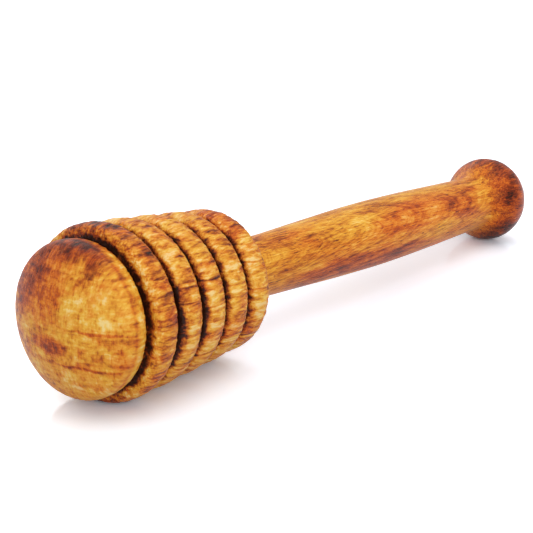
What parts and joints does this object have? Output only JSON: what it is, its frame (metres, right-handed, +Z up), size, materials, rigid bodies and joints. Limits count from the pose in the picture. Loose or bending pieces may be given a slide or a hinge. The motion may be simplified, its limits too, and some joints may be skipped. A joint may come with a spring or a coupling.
{
  "type": "honey dipper",
  "caption": "Turned wooden honey dipper: a ringed, dome-ended head on a swelling handle that ends in a flattened ball, lying on its side.",
  "frame": {"origin": "on the table, under the middle of the dipper as it lies on its front ring and its end ball", "axes": "+X along the dipper from the ringed head to the end ball, +Z up, +Y to the side"},
  "size_m": [0.1598, 0.0354, 0.0354],
  "materials": {
    "head_wood": "turned, oiled, satin",
    "handle_wood": "turned, sanded and oiled, satin"
  },
  "bodies": {
    "root": {"dipper_head": "head_wood", "handle": "handle_wood"}
  },
  "joints": []
}
